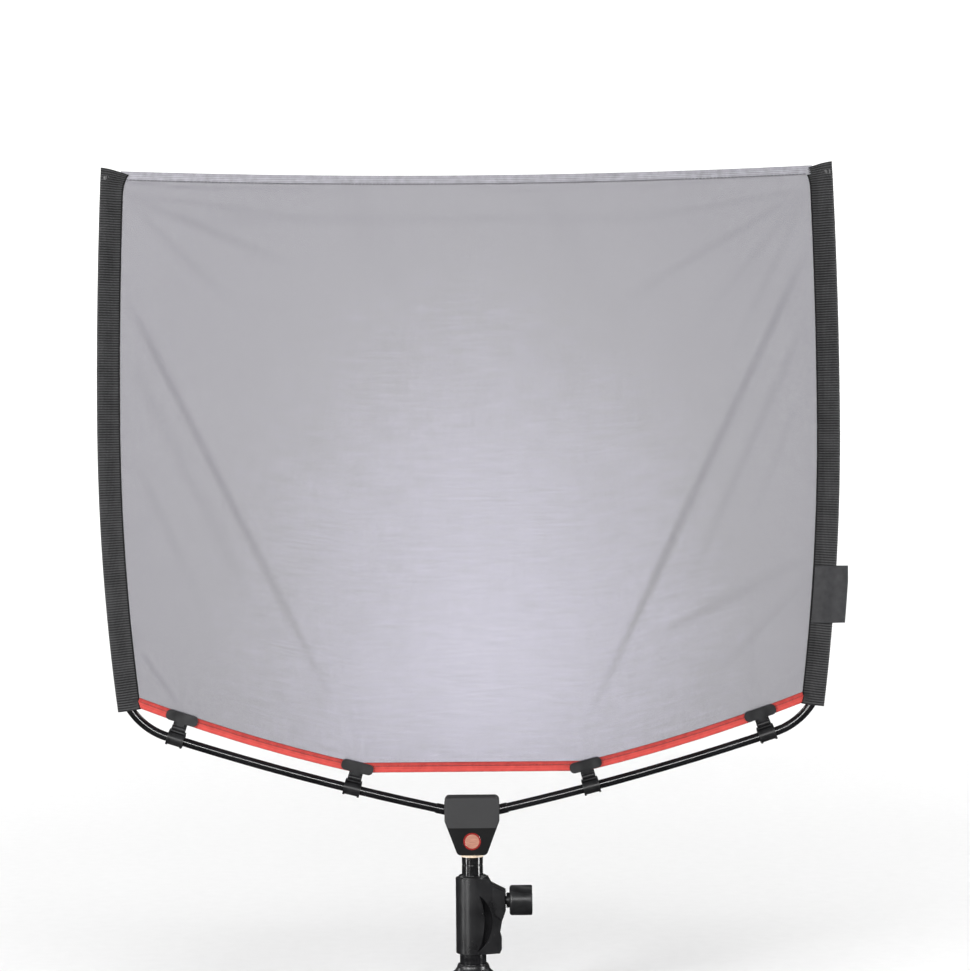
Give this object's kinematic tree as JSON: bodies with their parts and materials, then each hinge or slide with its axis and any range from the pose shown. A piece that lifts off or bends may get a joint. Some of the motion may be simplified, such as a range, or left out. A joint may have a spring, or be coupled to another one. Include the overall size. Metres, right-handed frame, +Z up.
{
  "type": "net flag on a stand clamp",
  "caption": "Fabric net light-control panel on a bowed rod frame with hem clips and a swivel hub, standing on the top clamp of a telescopic stand.",
  "frame": {"origin": "on the stand's axis, at the mouth of the lowest collar's bore", "axes": "+Z up the stand, +X to the right towards the clamp knob, the net's front faces -Y"},
  "size_m": [0.7117, 0.0496, 0.8012],
  "materials": {
    "cast_black": "satin black die casting",
    "black_tube": "gloss black anodised aluminium tube",
    "bare_steel": "plain turned steel",
    "brass": "turned brass",
    "aluminium": "machined aluminium",
    "black_plastic": "satin black moulded nylon",
    "hub_plastic": "fine grained dark grey moulded plastic",
    "cream_nylon": "natural nylon",
    "badge_rim": "dark red enamel",
    "badge_disc": "plain copper-rose disc",
    "rod_black": "black resin-wrapped glass fibre",
    "webbing": "black ribbed polyester webbing",
    "net": "fine light grey scrim net",
    "net_hem": "folded scrim net, stitched",
    "red_binding": "red bias tape, stitched",
    "label": "plain black woven label"
  },
  "bodies": {
    "stand_top": {"lower_collar": "cast_black", "lower_collar_ring": "black_plastic", "lower_tube": "black_tube", "clamp_barrel": "cast_black", "barrel_top_bush": "black_plastic", "clamp_thread_insert": "brass"},
    "clamp_pad": {"clamp_pad": "brass"},
    "clamp_knob": {"clamp_screw": "bare_steel", "clamp_knob": "black_plastic", "clamp_knob_cap": "black_plastic"},
    "riser": {"riser_tube": "black_tube", "riser_end_bush": "black_plastic", "riser_stud": "bare_steel", "stud_washer": "cream_nylon"},
    "hub_lock_pad": {"hub_lock_pad": "brass"},
    "hub_lock_knob": {"hub_lock_screw": "bare_steel", "hub_lock_knob": "black_plastic"},
    "right_inner_clip_jaw": {"right_inner_clip_jaw": "black_plastic"},
    "left_inner_clip_jaw": {"left_inner_clip_jaw": "black_plastic"},
    "right_outer_clip_jaw": {"right_outer_clip_jaw": "black_plastic"},
    "left_outer_clip_jaw": {"left_outer_clip_jaw": "black_plastic"},
    "flag": {"bottom_binding": "red_binding", "hub_back_shell": "hub_plastic", "hub_badge_disc": "badge_disc", "hub_badge_rim": "badge_rim", "hub_front_shell": "hub_plastic", "hub_lock_insert": "brass", "hub_screws": "bare_steel", "hub_stud_socket": "aluminium", "left_inner_clip_body": "black_plastic", "left_inner_clip_pin": "bare_steel", "left_lower_rod": "rod_black", "left_outer_clip_body": "black_plastic", "left_outer_clip_pin": "bare_steel", "left_rod_ferrule": "rod_black", "left_rod_socket": "aluminium", "left_rod_spigot": "bare_steel", "left_rod_tip": "black_plastic", "left_side_rod": "rod_black", "left_sleeve": "webbing", "net_panel": "net", "right_inner_clip_body": "black_plastic", "right_inner_clip_pin": "bare_steel", "right_lower_rod": "rod_black", "right_outer_clip_body": "black_plastic", "right_outer_clip_pin": "bare_steel", "right_rod_ferrule": "rod_black", "right_rod_socket": "aluminium", "right_rod_spigot": "bare_steel", "right_rod_tip": "black_plastic", "right_side_rod": "rod_black", "right_sleeve": "webbing", "side_label": "label", "top_hem": "net_hem"}
  },
  "joints": [
    {"name": "riser_height", "type": "slide", "parent": "stand_top", "child": "riser", "axis": [0, 0, 1], "range_m": [0, 0.054]},
    {"name": "flag_swivel", "type": "hinge", "parent": "riser", "child": "flag", "pos_m": [0, 0, 0], "axis": [0, 0, 1], "continuous": true},
    {"name": "clamp_pad_slide", "type": "slide", "parent": "stand_top", "child": "clamp_pad", "axis": [1, 0, 0], "range_m": [0, 0.00187]},
    {"name": "clamp_knob_turn", "type": "hinge", "parent": "clamp_pad", "child": "clamp_knob", "pos_m": [0, 0, 0.1026], "axis": [1, 0, 0], "range_deg": [0, 540]},
    {"name": "hub_lock_pad_slide", "type": "slide", "parent": "flag", "child": "hub_lock_pad", "axis": [0, 1, 0], "range_m": [0, 0.0015]},
    {"name": "hub_lock_knob_turn", "type": "hinge", "parent": "hub_lock_pad", "child": "hub_lock_knob", "pos_m": [0, 0, 0.163], "axis": [0, 1, 0], "range_deg": [0, 540]},
    {"name": "right_inner_jaw_hinge", "type": "hinge", "parent": "flag", "child": "right_inner_clip_jaw", "pos_m": [0.11079, -0.0033, 0.22024], "axis": [0.9692, 0, 0.2461], "range_deg": [0, 60]},
    {"name": "left_inner_jaw_hinge", "type": "hinge", "parent": "flag", "child": "left_inner_clip_jaw", "pos_m": [-0.11079, -0.0033, 0.22024], "axis": [0.9692, 0, -0.2461], "range_deg": [0, 60]},
    {"name": "right_outer_jaw_hinge", "type": "hinge", "parent": "flag", "child": "right_outer_clip_jaw", "pos_m": [0.27731, -0.0033, 0.26832], "axis": [0.9512, 0, 0.3085], "range_deg": [0, 60]},
    {"name": "left_outer_jaw_hinge", "type": "hinge", "parent": "flag", "child": "left_outer_clip_jaw", "pos_m": [-0.27731, -0.0033, 0.26832], "axis": [0.9512, 0, -0.3085], "range_deg": [0, 60]}
  ],
  "couplings": [
    {"joint": "clamp_knob_turn", "follows": "clamp_pad_slide", "rad_per_m": 5026.5},
    {"joint": "hub_lock_knob_turn", "follows": "hub_lock_pad_slide", "rad_per_m": 6283.2}
  ]
}
